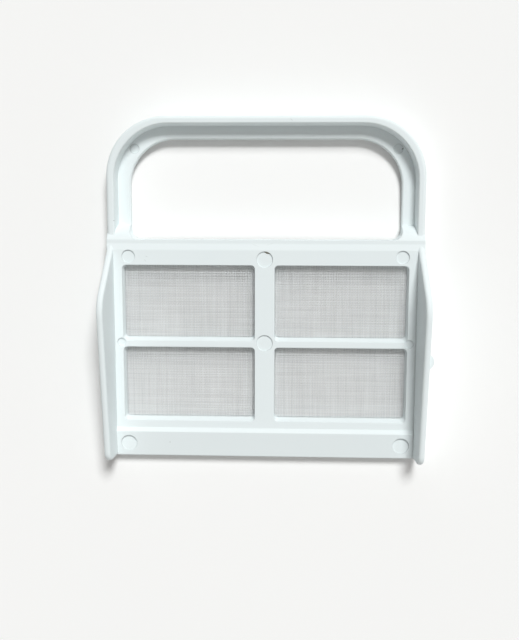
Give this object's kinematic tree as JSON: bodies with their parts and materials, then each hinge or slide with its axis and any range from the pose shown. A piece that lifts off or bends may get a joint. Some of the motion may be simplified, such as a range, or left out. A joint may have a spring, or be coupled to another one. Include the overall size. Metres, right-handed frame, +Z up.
{
  "type": "tumble dryer filter",
  "caption": "Lint filter for a tumble dryer: a white moulded frame with a bow handle, upright side wings and windows of fine woven mesh, slid into the dryer's filter slot.",
  "frame": {"origin": "centre of the bounding box on the table the filter lies on", "axes": "+X across the filter, +Y from the bottom strip to the handle, +Z up out of the front face; the filter lies as pictured, its mesh plate tilted 3.6 degrees with the handle end higher"},
  "size_m": [0.1534, 0.1624, 0.0293],
  "materials": {
    "white_plastic": "smooth moulded, soft sheen",
    "woven_mesh": "fine woven cloth"
  },
  "bodies": {
    "root": {"filter_frame": "white_plastic", "filter_mesh": "woven_mesh"}
  },
  "joints": []
}
